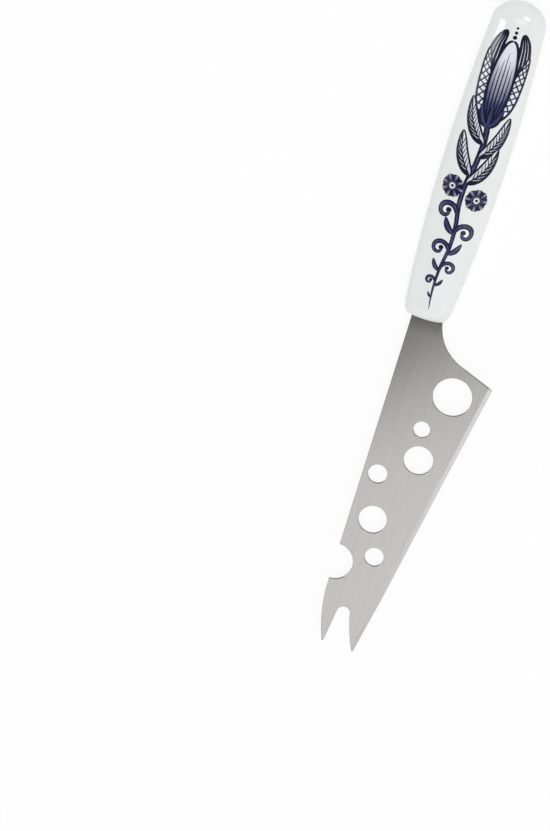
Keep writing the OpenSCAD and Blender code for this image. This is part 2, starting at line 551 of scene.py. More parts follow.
@dataclass(frozen=True)
class Glaze:
    """Glossy fired glaze that pools a little, so that its tone and surface are never quite even.

    Args:
        name: The material's name.
        thin: Colour where the glaze is thin.
        thick: Colour where it has pooled.
        roughness: How rough it is on average.
        uneven: How far its pores swing the roughness.
        pools: Pools to a metre along each axis.
        pores: Pores to a metre.
        wave: Height of its slow waves in metres.
        pitting: Depth of the pores as a share of that.
        ior: Its index of refraction.
    """

    name: str = "white_glaze"
    thin: Colour = (0.80, 0.81, 0.81)
    thick: Colour = (0.785, 0.80, 0.805)
    roughness: float = 0.09
    uneven: float = 0.05
    pools: tuple[float, float, float] = (45.0, 90.0, 90.0)
    pores: float = 1900.0
    wave: float = 1.2e-5
    pitting: float = 0.02
    ior: float = 1.5

    def build(self) -> bpy.types.Material:
        """Makes the material.

        Returns:
            The material.
        """
        shader, made = Shader.material(self.name)
        pool = shader.grain(self.pools)
        pores = shader.grain((self.pores,) * 3, detail=1.0)
        shader.principled({
            "Base Color": shader.blend(pool, self.thin, self.thick),
            "Roughness": self.roughness + self.uneven * (pores - 0.5),
            "IOR": self.ior,
            "Normal": shader.bump(pool + pores * self.pitting, self.wave),
        })
        return made


@dataclass(frozen=True)
class Cobalt:
    """Cobalt paint under the glaze, paler where the brush ran dry.

    Args:
        name: The material's name.
        pale: Colour of the thinnest paint.
        deep: Colour of the thickest paint.
        mottle: How much the paint's own unevenness shows.
        clouds: Its clouds to a metre along each axis.
        roughness: How rough it is on average.
        uneven: How far the clouds swing the roughness.
        ior: Its index of refraction.
    """

    name: str
    pale: Colour
    deep: Colour
    mottle: float
    clouds: tuple[float, float, float] = (420.0, 900.0, 900.0)
    roughness: float = 0.12
    uneven: float = 0.05
    ior: float = 1.45

    def build(self) -> bpy.types.Material:
        """Makes the material, whose depth of colour follows the mesh's own load attribute.

        Returns:
            The material.
        """
        shader, made = Shader.material(self.name)
        attribute = shader.node("ShaderNodeAttribute", {"attribute_name": LOAD}, {})
        load = Socket(shader, attribute.outputs["Fac"])
        clouds = shader.grain(self.clouds, detail=3.0) - 0.5
        shader.principled({
            "Base Color": shader.blend((load + clouds * self.mottle).clipped(), self.pale, self.deep),
            "Roughness": self.roughness + self.uneven * clouds,
            "IOR": self.ior,
        })
        return made


@dataclass(frozen=True)
class Cement:
    """Pale, dull cement with fine grit.

    Args:
        name: The material's name.
        dark: Colour of the grit.
        light: Colour of the paste.
        grit: Grains to a metre.
        relief: Height of the grit in metres.
        roughness: How rough it is on average.
        uneven: How far the grit swings the roughness.
    """

    name: str = "cement"
    dark: Colour = (0.42, 0.41, 0.38)
    light: Colour = (0.62, 0.61, 0.57)
    grit: float = 2600.0
    relief: float = 3e-5
    roughness: float = 0.85
    uneven: float = 0.1

    def build(self) -> bpy.types.Material:
        """Makes the material.

        Returns:
            The material.
        """
        shader, made = Shader.material(self.name)
        grit = shader.grain((self.grit,) * 3, detail=4.0)
        shader.principled({
            "Base Color": shader.blend(grit, self.dark, self.light),
            "Roughness": self.roughness + self.uneven * (grit - 0.5),
            "Normal": shader.bump(grit, self.relief),
        })
        return made

    def dress(self) -> None:
        """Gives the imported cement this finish."""
        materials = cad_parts["tang_cement"].data.materials
        materials.clear()
        materials.append(self.build())
        LOG.info("tang_cement: dressed")


@dataclass(frozen=True)
class Handle:
    """The hollow glazed handle, as one closed shell with its slot and its hollow.

    Args:
        where: The frame that gives its length and thickness.
        belly_w: Width at its widest place.
        belly_setback: Distance from the mouth back to its widest place.
        side_r: Radius of the long curve of its side.
        butt_dome: Length of the rounded butt.
        mouth_w: Width of the end face at the mouth.
        mouth_t: Thickness of the end face at the mouth.
        mouth_shift: Distance by which the mouth lies nearer the spine than the butt does.
        shoulder_reach: Length of the rounded shoulder behind the mouth.
        lip_r: Radius of the slot's lip.
        slot_w: Width of the slot.
        slot_t: Thickness of the slot.
        wall: Thickness of the shell.
        nose_wall: Length of the solid nose.
        hollow_lead: Length over which the hollow opens out behind the nose.
        around: Points in a ring.
        outside_steps: Rings along the butt's dome, the side and the shoulder.
        inside_steps: Rings along the lip, the slot, the hollow's opening, its side and its dome.
    """

    where: KnifeFrame
    belly_w: float = 22.2
    belly_setback: float = 63.3
    side_r: float = 640.0
    butt_dome: float = 7.25
    mouth_w: float = 12.0
    mouth_t: float = 6.3
    mouth_shift: float = 0.5
    shoulder_reach: float = 5.0
    lip_r: float = 0.2
    slot_w: float = 7.2
    slot_t: float = 2.3
    wall: float = 3.0
    nose_wall: float = 5.0
    hollow_lead: float = 9.0
    around: int = 168
    outside_steps: tuple[int, ...] = (30, 84, 24)
    inside_steps: tuple[int, ...] = (4, 4, 14, 24, 14)

    @property
    def length(self) -> float:
        """Length from the butt to the mouth."""
        return float(-self.where.handle[0, 0])

    @property
    def belly(self) -> np.ndarray:
        """Half the width and half the thickness at the belly."""
        return np.array([self.belly_w / 2, self.where.handle[1, 2]])

    @property
    def mouth(self) -> np.ndarray:
        """Half the width and half the thickness of the end face."""
        return np.array([self.mouth_w, self.mouth_t]) / 2

    @property
    def slot(self) -> np.ndarray:
        """Half the width and half the thickness of the slot."""
        return np.array([self.slot_w, self.slot_t]) / 2

    def middle(self, x: np.ndarray) -> np.ndarray:
        """Where the middle of the handle lies across the knife: -shift ((x + length) / length)^2."""
        return -self.mouth_shift * ((x + self.length) / self.length) ** 2

    def body(self, x: np.ndarray | float) -> np.ndarray:
        """Half width and half thickness at each place before the ends are rounded off.

        The half width is that of the belly less (x + setback)^2 / (2 side_r), and the half
        thickness is in the belly's proportion.

        Args:
            x: Places along the handle, from the mouth.

        Returns:
            Two half sizes a place, in the last axis.
        """
        width = self.belly[0] - (np.asarray(x, float) + self.belly_setback) ** 2 / (2 * self.side_r)
        return width[..., None] * self.belly / self.belly[0]

    def section(self, x: np.ndarray) -> np.ndarray:
        """Half width and half thickness of the outside at each place x.

        The butt's dome multiplies the body's by a quarter ellipse, and another one along the
        shoulder leads from them to those of the end face.

        Args:
            x: Places along the handle, from the mouth.

        Returns:
            Two half sizes a place, in the last axis.
        """
        dome = round_off((self.butt_dome - self.length - x) / self.butt_dome)[..., None]
        shoulder = 1 - round_off(1 + x / self.shoulder_reach)[..., None]
        return dome * (self.body(x) - (self.body(0.0) - self.mouth) * shoulder)

    def outside_rings(self) -> np.ndarray:
        """Rings from the butt to the edge of the end face, closer together where it is round.

        Returns:
            A row for each ring: place, middle, half width, half thickness and squareness.
        """
        dome, body, nose = self.outside_steps
        start, shoulder = self.butt_dome - self.length, -self.shoulder_reach
        x = np.concatenate([
            start - self.butt_dome * np.cos(quarter(dome)[1:]),
            start + (shoulder - start) * shares(body)[1:],
            shoulder * (1 - np.sin(quarter(nose)[1:])),
        ])
        return np.column_stack([x, self.middle(x), self.section(x), np.full(len(x), OVAL)])

    def inside_rings(self) -> np.ndarray:
        """Rings from the slot's edge in the flat end face into the hollow, to its far end.

        A quarter circle rounds the slot's lip. The hollow's half sizes rise from the pole at the
        butt and fall to the slot at the nose along quarter ellipses, and run a wall's thickness
        inside the body between them.

        Returns:
            A row for each ring: place, middle, half width, half thickness and squareness.
        """
        lip, tube, opening, body, dome = self.inside_steps
        front, back = -self.nose_wall, self.wall - self.length
        open_from, dome_from = front - self.hollow_lead, back + self.butt_dome
        x = np.concatenate([
            self.lip_r * (np.cos(quarter(lip)) - 1),
            -self.lip_r - shares(tube)[1:] * (self.nose_wall - self.lip_r),
            front - self.hollow_lead * (1 - np.cos(quarter(opening)[1:])),
            open_from + (dome_from - open_from) * shares(body)[1:],
            back + self.butt_dome * (1 - np.sin(quarter(dome)[1:-1])),
        ])
        neck = round_off(1 - (front - x) / self.hollow_lead)
        swell = round_off(1 - (x - back) / self.butt_dome)[:, None]
        size = (self.slot + (self.body(x) - self.wall - self.slot) * neck[:, None]) * swell
        size[:lip + 1] += self.lip_r * (1 - np.sin(quarter(lip)))[:, None]
        fade = np.clip((front - x) / (self.hollow_lead / 2), 0, 1)
        return np.column_stack([x, self.middle(x) * neck, size, OBLONG + (OVAL - OBLONG) * fade])

    def mesh(self) -> Mesh:
        """The closed shell.

        A ring's point at the angle a lies at the distance
        (|cos a / w|^p + |sin a / t|^p)^(-1/p) from its middle, where w and t are its half sizes
        and p its squareness: 2 is an ellipse and a large p a rectangle. One surface runs from
        the outer pole at the butt over the end face and through the slot to the hollow's pole.

        Returns:
            The mesh, with its faces turned outwards.
        """
        rings = np.vstack([self.outside_rings(), self.inside_rings()])
        place, middle, wide, thick, power = np.hsplit(rings, 5)
        angle = np.arange(self.around) * FULL_TURN / self.around
        cos, sin = np.cos(angle)[None], np.sin(angle)[None]
        reach = (np.abs(cos / wide) ** power + np.abs(sin / thick) ** power) ** (-1 / power)
        grid = np.stack(np.broadcast_arrays(place, middle + reach * cos, reach * sin), axis=-1)
        poles = np.array([[-self.length, 0, 0], [self.wall - self.length, 0, 0]])
        count = len(rings) * self.around
        first = np.arange(self.around)
        after = np.roll(first, -1)
        last = count - self.around
        butt = np.column_stack([after, first, np.full(self.around, count)])
        bottom = np.column_stack([first + last, after + last, np.full(self.around, count + 1)])
        points = np.vstack([grid.reshape(-1, 3), poles])
        return Mesh(points, [ring_faces(len(rings), self.around), butt, bottom]).outward()

    def build(self, finish: Glaze) -> bpy.types.Object:
        """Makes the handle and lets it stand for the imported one.

        Args:
            finish: Its glaze.

        Returns:
            The handle.
        """
        piece = add_object("porcelain_handle", self.mesh(), self.where, [finish.build()])
        piece.data.shade_smooth()
        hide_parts("handle")
        return piece


@dataclass(frozen=True)
class Blade:
    """The stamped and ground blade with its tang.

    Args:
        where: The frame that gives its length, depth, thickness and tang.
        neck_w: Width of the neck at the mouth.
        heel_setback: Distance from the mouth to the heel corner.
        sweep_r: Radius of the hollow sweep between neck and heel.
        sweep_start: Angle at which the sweep leaves the neck, in degrees.
        turn_setback: Distance from the tip back to where the edge turns down to it.
        turn_depth: Depth from the spine to the edge at that turn.
        point_depth: Depth from the spine to the middle of the long point's end.
        point_d: Width of the rounded end of each point.
        short_setback: How much shorter the short prong is.
        short_depth: Depth from the spine to the short point.
        flank_shares: Where the short prong's back leaves the spine and where it bends, as shares of
            its run from the notch.
        bevel_w: Width of the ground bevel.
        edge_land: Thickness left at the cutting edge.
        hole_shares: Places of the holes, as shares of the length and of the depth there.
        hole_d: Diameters of the holes.
        notch_r: Radius of the notch in the spine.
        notch_setback: Distance from the tip back to the middle of the notch.
        throat_r: Radius of the fork's throat.
        throat_setback: Distance from the tip back to the middle of the throat.
        throat_depth: Depth from the spine to the middle of the throat.
        throat_bend: Where the long prong's inner side bends, as shares of its way to the point.
        tang_w: Width of the tang at the neck.
        tang_end_w: Width of the tang at its end.
        key_d: Diameter of the tang's key holes.
        key_shares: Places of the key holes, as shares of the tang's length.
        rim_r: Radius that tumbling leaves on the stamped edges.
        rim_steps: Faces across that radius.
        curve_steps: Steps along each curved side of a prong.
        point_step: The longest distance between two points of a prong's end.
        throat_step: The same for the fork's throat.
        hole_step: The same for a hole.
        crease_gap: How close to the bevel's width a corner lies that is on its crease.
        weld_gap: How close together two corners are one to the fill.
        smooth_to: The sharpest angle between two faces that is shaded smooth, in degrees.
    """

    where: KnifeFrame
    neck_w: float = 10.9
    heel_setback: float = 18.1
    sweep_r: float = 16.7
    sweep_start: float = 8.0
    turn_setback: float = 21.5
    turn_depth: float = 19.5
    point_depth: float = 15.0
    point_d: float = 0.8
    short_setback: float = 0.8
    short_depth: float = 4.15
    flank_shares: tuple[float, float] = (0.08, 0.52)
    bevel_w: float = 1.4
    edge_land: float = 0.2
    hole_shares: tuple[Place, ...] = (
        (0.2, 0.661), (0.317, 0.495), (0.406, 0.602), (0.479, 0.193), (0.611, 0.344), (0.715, 0.578))
    hole_d: tuple[float, ...] = (13.6, 5.8, 10.2, 6.7, 9.8, 6.6)
    notch_r: float = 6.4
    notch_setback: float = 29.2
    throat_r: float = 2.35
    throat_setback: float = 12.3
    throat_depth: float = 8.25
    throat_bend: tuple[float, float] = (0.45, 0.27)
    tang_w: float = 6.4
    tang_end_w: float = 5.0
    key_d: float = 2.6
    key_shares: tuple[float, float] = (0.4, 0.8)
    rim_r: float = 0.12
    rim_steps: int = 3
    curve_steps: int = 24
    point_step: float = 0.08
    throat_step: float = 0.15
    hole_step: float = 0.25
    crease_gap: float = 1e-6
    weld_gap: float = 1e-7
    smooth_to: float = 40.0

    @property
    def length(self) -> float:
        """Distance from the mouth to the long point."""
        return float(self.where.blade[1, 0])

    @property
    def spine(self) -> float:
        """Place of the straight spine across the knife."""
        return float(self.where.blade[0, 1])

    @property
    def half_t(self) -> float:
        """Half the thickness of the sheet."""
        return float(self.where.blade[1, 2])

    @property
    def heel(self) -> np.ndarray:
        """The heel corner."""
        return np.array([self.heel_setback, self.where.blade[1, 1]])

    @property
    def edge_turn(self) -> np.ndarray:
        """The corner at which the cutting edge turns down to the long point."""
        return np.array([self.length - self.turn_setback, self.spine + self.turn_depth])

    @property
    def long_point(self) -> np.ndarray:
        """The middle of the long point's rounded end."""
        return np.array([self.length - self.point_d / 2, self.spine + self.point_depth])

    @property
    def edge_corners(self) -> np.ndarray:
        """The cutting edge: heel, turn and long point."""
        return np.array([self.heel, self.edge_turn, self.long_point + [0, self.point_d / 2]])

    @property
    def edge_inward(self) -> np.ndarray:
        """The unit ways into the metal from the two lines of the cutting edge."""
        return -turned(unit(np.diff(self.edge_corners, axis=0)))

    @property
    def crease_corner(self) -> np.ndarray:
        """Where the bevel's two creases meet, one bevel inside both lines of the edge."""
        inward = self.edge_inward
        return self.edge_turn + self.bevel_w * inward.sum(axis=0) / (1 + inward[0] @ inward[1])

    def edge_distance(self, points: np.ndarray) -> np.ndarray:
        """The smaller distance of each point inwards from the two lines of the cutting edge.

        Args:
            points: Places on the blade, in the last axis.

        Returns:
            One distance a point, below zero outside the edge.
        """
        inward = self.edge_inward
        return (points @ inward.T - (self.edge_corners[:2] * inward).sum(axis=1)).min(axis=-1)

    def height(self, points: np.ndarray) -> np.ndarray:
        """Height of the ground surface over the mid-plane, rising from the land to the sheet."""
        slope = (self.half_t - self.edge_land / 2) / self.bevel_w
        return np.minimum(self.half_t, self.edge_land / 2 + slope * self.edge_distance(points))

    def outline(self) -> np.ndarray:
        """The outer outline, anticlockwise from the end of the tang, with arcs as arcs.

        Returns:
            Its corners in order, without a second one at the start.
        """
        tang_r = self.tang_end_w / 2
        tang_end = np.array([self.where.blade[0, 0] + tang_r, 0])
        notch = np.array([self.length - self.notch_setback, self.spine])
        throat = np.array([self.length - self.throat_setback, self.spine + self.throat_depth])
        short = np.array([self.long_point[0] - self.short_setback, self.spine + self.short_depth])
        half = np.array([0, self.point_d / 2])
        run = short[0] - notch[0] - self.notch_r
        flank, bend = (notch + [self.notch_r + share * run, 0] for share in self.flank_shares)
        throat_low = throat + [0, self.throat_r]
        inner_bend = throat_low + (self.long_point - throat_low) * self.throat_bend
        lead = math.radians(self.sweep_start)
        neck_y = self.spine + self.neck_w
        sweep = np.array([-self.sweep_r * math.sin(lead), neck_y + self.sweep_r * math.cos(lead)])
        reach = self.heel - sweep
        sweep_end = math.atan2(reach[1], reach[0]) + math.asin(self.sweep_r / np.linalg.norm(reach))
        return np.vstack([
            arc(tang_end, tang_r, 90, 270),
            [[0, -self.tang_w / 2], [0, self.spine]],
            arc(notch, self.notch_r, 180, 0),
            bezier(flank, bend, short - half, self.curve_steps),
            arc(short, self.point_d / 2, -90, 90, self.point_step)[1:],
            arc(throat, self.throat_r, -90, -270, self.throat_step),
            bezier(throat_low, inner_bend, self.long_point - half, self.curve_steps)[1:],
            arc(self.long_point, self.point_d / 2, -90, 90, self.point_step)[1:],
            [self.edge_turn, self.heel],
            arc(sweep, self.sweep_r, math.degrees(sweep_end) - 90, self.sweep_start - 90),
            [[0, self.tang_w / 2]],
        ])

    def hole_loops(self) -> list[np.ndarray]:
        """The outlines of the release holes and the tang's key holes.

        Returns:
            One outline a hole, clockwise, so that the metal lies on its left.
        """
        slope = (self.edge_turn - self.heel)[1] / (self.edge_turn - self.heel)[0]
        along, across = np.array(self.hole_shares).T
        x = along * self.length
        depth = self.heel[1] - self.spine + (x - self.heel[0]) * slope
        keys = np.array(self.key_shares) * self.where.blade[0, 0]
        centres = np.vstack([np.column_stack([x, self.spine + across * depth]),
                             np.column_stack([keys, np.zeros(len(keys))])])
        sizes = self.hole_d + (self.key_d,) * len(keys)
        return [arc(c, d / 2, 360, 0, self.hole_step)[:-1] for c, d in zip(centres, sizes)]

    def with_crease_ends(self, loop: np.ndarray) -> np.ndarray:
        """Adds a corner wherever the bevel's crease leaves the rounded rim.

        Args:
            loop: The outer outline.

        Returns:
            The outline with the added corners in their places.
        """
        side = np.roll(loop, -1, axis=0) - loop
        inner = loop + turned(unit(side)) * self.rim_r
        near, far = (self.edge_distance(ends) - self.bevel_w for ends in (inner, inner + side))
        cross = np.flatnonzero(near * far < 0)
        share = near[cross] / (near[cross] - far[cross])
        return np.insert(loop, cross + 1, loop[cross] + side[cross] * share[:, None], axis=0)

    def rim(self, loop: np.ndarray) -> np.ndarray:
        """Carries an outline round the upper half of its tumbled edge.

        At the angle f, from 0 to a quarter turn, a ring lies r (1 - cos f) inside the outline at
        the height half_t - r (1 - sin f), and nowhere above the ground bevel. A corner moves
        along the way that lies one unit inside both of its sides.

        Args:
            loop: The outline, with the metal on its left.

        Returns:
            The rings' points, by ring, corner and axis.
        """
        after = turned(unit(np.roll(loop, -1, axis=0) - loop))
        before = np.roll(after, 1, axis=0)
        way = (before + after) / (1 + (before * after).sum(axis=1))[:, None]
        turn = quarter(self.rim_steps)[:, None]
        flat = loop + way * (self.rim_r * (1 - np.cos(turn)))[..., None]
        rise = np.minimum(self.half_t - self.rim_r * (1 - np.sin(turn)), self.height(flat))
        return np.dstack([flat, rise])

    def kinds(self, points: np.ndarray, faces: np.ndarray) -> np.ndarray:
        """BEVEL for each face whose middle lies within the bevel's width of the edge, else SHEET."""
        ground = self.edge_distance(points[faces][:, :, :2].mean(axis=1)) < self.bevel_w
        return np.where(ground, FaceKind.BEVEL.value, FaceKind.SHEET.value)

    def mesh(self) -> tuple[Mesh, np.ndarray]:
        """The closed sheet.

        Every outline has its rounded rim, the last rings of the rims bound a flat fill, and the
        lower side is the upper one mirrored. A row of quads joins the two rims of an outline.

        Returns:
            The mesh and the kind of each face.
        """
        rims = [self.rim(loop) for loop in [self.with_crease_ends(self.outline()), *self.hole_loops()]]
        starts = np.cumsum([0] + [rim[..., 0].size for rim in rims])
        fill, crease = self.fill(rims, starts)
        top = np.vstack([rim.reshape(-1, 3) for rim in rims] + [crease])
        blocks, kinds, walls, sheared = [], [], [], []
        for rim, start in zip(rims, starts):
            rings, around = rim.shape[:2]
            quads = ring_faces(rings, around) + start
            kind = self.kinds(top, quads)
            outer = np.arange(len(quads)) < (rings - 2) * around
            kind[outer & (kind == FaceKind.SHEET.value)] = FaceKind.SHEARED.value
            blocks.append(quads)
            kinds.append(kind)
            here = start + np.arange(around)
            after = np.roll(here, -1)
            walls.append(np.column_stack([here + len(top), after + len(top), after, here]))
            sheared.append(np.full(around, FaceKind.SHEARED.value))
        blocks.append(fill)
        kinds.append(self.kinds(top, fill))
        lower = [block[:, ::-1] + len(top) for block in blocks]
        points = np.vstack([top, top * [1, 1, -1]])
        return Mesh(points, blocks + lower + walls), np.concatenate(kinds * 2 + sheared)

    def fill(self, rims: list[np.ndarray], starts: np.ndarray) -> tuple[np.ndarray, np.ndarray]:
        """Triangles of the flat side and the bevel, inside the last ring of every rim.

        Args:
            rims: The rims' points, the outer outline's first.
            starts: The number of each rim's first vertex, and at the end the next free one.

        Returns:
            The triangles and the point that the crease adds.
        """
        inner = [rim[-1, :, :2] for rim in rims]
        spans = [np.arange(len(ring)) for ring in inner]
        firsts = np.cumsum([0] + [len(span) for span in spans])
        number = np.concatenate([end - len(span) + span for end, span in zip(starts[1:], spans)])
        points = np.vstack([*inner, self.crease_corner])
        sides = [np.column_stack([span, np.roll(span, -1)]) + first for span, first in zip(spans, firsts)]
        off_crease = np.abs(self.edge_distance(inner[0]) - self.bevel_w)
        turn_at = np.argmin(np.linalg.norm(inner[0] - self.edge_turn, axis=1))
        ends = [*np.flatnonzero(off_crease < self.crease_gap), turn_at]
        creases = np.column_stack([ends, np.full(len(ends), firsts[-1])])
        edges = np.vstack([*sides, creases]).tolist()
        found = delaunay_2d_cdt(points.tolist(), edges, [], FILL_INSIDE, self.weld_gap, True)
        origin = np.array([ids[0] if ids else -1 for ids in found[3]])
        if (origin < 0).any() or len(origin) != len(points):
            raise ValueError("the blade's fill has vertices that its outlines lack")
        triangles = origin[np.array(found[2])]
        keep = enclosed(points[triangles].mean(axis=1), inner)
        return np.append(number, starts[-1])[triangles[keep]], np.array([[*self.crease_corner, self.half_t]])

    def build(self, sheet: BrushedSteel, bevel: BrushedSteel, sheared: BrushedSteel) -> bpy.types.Object:
        """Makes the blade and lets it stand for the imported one.

        Args:
            sheet: Finish of the flat sides.
            bevel: Finish of the ground bevel.
            sheared: Finish of the stamped edges.

        Returns:
            The blade.
        """
        mesh, kind = self.mesh()
        finishes = [finish.build() for finish in (sheet, bevel, sheared)]
        piece = add_object("steel_blade", mesh, self.where, finishes)
        polygons = piece.data.polygons
        polygons.foreach_set("material_index", kind.astype(np.int32))
        corners = np.empty(len(polygons), np.int32)
        polygons.foreach_get("loop_total", corners)
        piece.data.set_sharp_from_angle(angle=math.radians(self.smooth_to))
        polygons.foreach_set("use_smooth", corners == 4)
        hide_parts("blade")
        return piece


@dataclass(frozen=True)
class Brush:
    """How wide a stroke of the brush is along its length.

    The half width at the share t is width / 2 times t^rise (1 - t)^fall, over the largest value
    that this takes. Small powers keep a stroke even, and large ones draw it to a point.

    Args:
        width: The stroke's width at its widest.
        rise: Power at its start.
        fall: Power at its end.
    """

    width: float
    rise: float
    fall: float

    def half_width(self, share: np.ndarray) -> np.ndarray:
        """Half the width along the stroke.

        Args:
            share: Shares of the length.

        Returns:
            One half width a share.
        """
        peak = self.rise / (self.rise + self.fall)
        most = peak**self.rise * (1 - peak) ** self.fall
        inner = np.clip(share, 1e-9, 1 - 1e-9)
        return self.width / 2 * inner**self.rise * (1 - inner) ** self.fall / most

    def scaled(self, share: float) -> "Brush":
        """The same touch at a share of the width."""
        return Brush(self.width * share, self.rise, self.fall)


# Fine lines: rims of leaves, petals and eyes, then ribs, veins, lattices and pale glints
LEAF_RIM = Brush(0.65, 0.08, 0.08)
SIDE_RIM = Brush(0.85, 0.08, 0.08)
FRONT_RIM = Brush(1.0, 0.08, 0.08)
EYE_RIM = Brush(0.42, 0.02, 0.02)
RIB = Brush(0.45, 0.1, 0.6)
LEAF_VEIN = Brush(0.4, 0.1, 0.5)
FRONT_VEIN = Brush(0.55, 0.1, 0.5)
LATTICE = Brush(0.52, 0.15, 0.25)
LEAF_GLINT = Brush(0.22, 0.1, 0.6)
BACK_GLINT = Brush(0.3, 0.2, 0.6)


@dataclass(frozen=True)
class Stroke:
    """One touch of paint on the handle.

    Places on the handle are pairs: the distance from the mouth towards the butt, and the
    distance along the surface from the middle of the decorated side towards the cutting edge.

    Args:
        path: Its middle line.
        brush: Its width.
        layer: How many touches lie under it.
        tone: Which blue it is painted in.
        load: Paint at its start and at its end, from 0 to 1.
    """

    path: np.ndarray
    brush: Brush
    layer: int
    tone: Tone = Tone.LINE
    load: tuple[float, float] = (0.8, 0.8)

    def across(self, side: float | np.ndarray, start: float = 0.0, end: float = 1.0,
               count: int = 0) -> np.ndarray:
        """Points beside the middle line.

        Args:
            side: How far to the side, from -1 at one edge to 1 at the other.
            start: The share of the length to start at.
            end: The share of the length to end at.
            count: Steps along it, or 0 for those of the path.

        Returns:
            An array of places: middle + side * half width * normal.
        """
        middle = evenly(self.path, len(self.path) - 1)
        share = shares(len(middle) - 1)
        at = start + (end - start) * shares(count or len(middle) - 1)
        normal = read_off(at, share, normals(middle))
        return read_off(at, share, middle) + normal * (side * self.brush.half_width(at))[:, None]

    def slant(self, first: float, last: float, start: float, length: float, count: int = 8) -> np.ndarray:
        """A line that crosses from one side to another over a share of the length."""
        return self.across(np.linspace(first, last, count + 1), start, start + length, count)


class Motif:
    """A part of the ornament, which knows its own strokes."""

    def paint(self, on: "Ornament") -> None:
        """Adds its strokes to the ornament."""
        raise NotImplementedError


def laid(shape: Sequence[Place], root: Place, size: float, side: int) -> np.ndarray:
    """Places given as shares of a size, towards the butt and to one side, laid from their root."""
    return np.array(root) + np.array(shape) * size * [-1, side]


@dataclass(frozen=True)
class Stem(Motif):
    """The winding stem.

    Args:
        points: Places that it passes through, from the tulip to the mouth.
        brush: Its width.
    """

    points: tuple[Place, ...]
    brush: Brush = Brush(2.1, 0.03, 0.5)

    def paint(self, on: "Ornament") -> None:
        """Adds one bold stroke under everything else."""
        on.bold(on.curve(self.points), self.brush, 0)


@dataclass(frozen=True)
class Tulip(Motif):
    """The large flower: two dark petals behind, two latticed ones beside, and one in front.

    Its shapes are middle lines in shares of its height, along the flower and to the side, and
    the widths of their brushes are such shares too. What lies on a petal runs over shares of
    the petal's length, at sides between -1 and 1.

    Args:
        root: Where the petals spring from.
        height: Its height.
        back: A petal behind.
        back_brush: The width of that petal.
        glints: Sides at which it has its pale glints.
        glint_run: Where they start and end.
        beside: A petal at the side.
        beside_brush: The width of that petal.
        beside_load: Its paint at the root and at the tip.
        bars: How many bars of its lattice lean each way.
        bar_side: How far to the side a bar starts and ends.
        first_bar: Where the first bar starts.
        bar_gap: From the start of one bar to the next.
        bar_run: The length of a bar.
        front: The petal in front.
        front_brush: The width of that petal.
        front_load: Its paint at the root and at the tip.
        veins: Sides at which it has its veins.
        vein_run: Where the middle vein starts and ends.
        vein_cut: How much sooner a vein at the very edge would end.
        cup: A leaf of the cup round the roots.
        cup_brush: The width of that leaf.
    """

    root: Place
    height: float = 33.0
    back: tuple[Place, ...] = ((0.05, 0.03), (0.45, 0.155), (0.8, 0.15), (1.0, 0.09))
    back_brush: Brush = Brush(0.18, 0.4, 0.45)
    glints: tuple[float, ...] = (-0.45, 0.0, 0.45)
    glint_run: Place = (0.5, 0.93)
    beside: tuple[Place, ...] = ((0.0, 0.02), (0.2, 0.13), (0.5, 0.185), (0.76, 0.225))
    beside_brush: Brush = Brush(0.145, 0.4, 0.7)
    beside_load: Place = (-0.1, -0.2)
    bars: int = 9
    bar_side: float = 0.95
    first_bar: float = 0.04
    bar_gap: float = 0.095
    bar_run: float = 0.15
    front: tuple[Place, ...] = ((0.0, 0.0), (0.45, 0.0), (0.9, 0.0))
    front_brush: Brush = Brush(0.25, 0.45, 0.5)
    front_load: Place = (1.3, -0.35)
    veins: tuple[float, ...] = (-0.62, -0.31, 0.0, 0.31, 0.62)
    vein_run: Place = (0.05, 0.86)
    vein_cut: float = 0.3
    cup: tuple[Place, ...] = ((-0.06, 0.0), (0.02, 0.07), (0.17, 0.12))
    cup_brush: Brush = Brush(0.085, 0.45, 0.7)

    def paint(self, on: "Ornament") -> None:
        """Adds its petals from the back to the front, and the cup last.

        Args:
            on: The ornament that gets them.
        """
        for side in (-1, 1):
            path = on.curve(laid(self.back, self.root, self.height, side))
            back = on.add(Stroke(path, self.back_brush.scaled(self.height), 0))
            for beside in self.glints:
                glint = back.across(beside, *self.glint_run, 20)
                on.add(Stroke(glint, BACK_GLINT, 1, Tone.WASH, (0.15, 0.15)))
        for side in (-1, 1):
            path = on.curve(laid(self.beside, self.root, self.height, side))
            petal = on.petal(path, self.beside_brush.scaled(self.height), 2, self.beside_load, SIDE_RIM)
            for k in range(self.bars):
                start = self.first_bar + self.bar_gap * k
                for lean in (-self.bar_side, self.bar_side):
                    on.add(Stroke(petal.slant(-lean, lean, start, self.bar_run), LATTICE, 4))
        path = on.curve(laid(self.front, self.root, self.height, 1))
        front = on.petal(path, self.front_brush.scaled(self.height), 5, self.front_load, FRONT_RIM)
        start, end = self.vein_run
        for beside in self.veins:
            vein = front.across(beside, start, end - self.vein_cut * abs(beside), 30)
            on.add(Stroke(vein, FRONT_VEIN, 7))
        for side in (-1, 0, 1):
            path = on.curve(laid(self.cup, self.root, self.height, side))
            on.bold(path, self.cup_brush.scaled(self.height), 8)


@dataclass(frozen=True)
class Beads(Motif):
    """A row of dots that shrink towards the butt, over the tulip.

    Args:
        first: Where the largest is.
        gap: Distance from one to the next.
        radii: Their radii.
    """

    first: Place
    gap: float = 1.7
    radii: tuple[float, ...] = (0.75, 0.6, 0.45)

    def paint(self, on: "Ornament") -> None:
        """Adds the dots."""
        for k, radius in enumerate(self.radii):
            on.dot((self.first[0] - self.gap * k, self.first[1]), radius, Tone.LINE, 1)


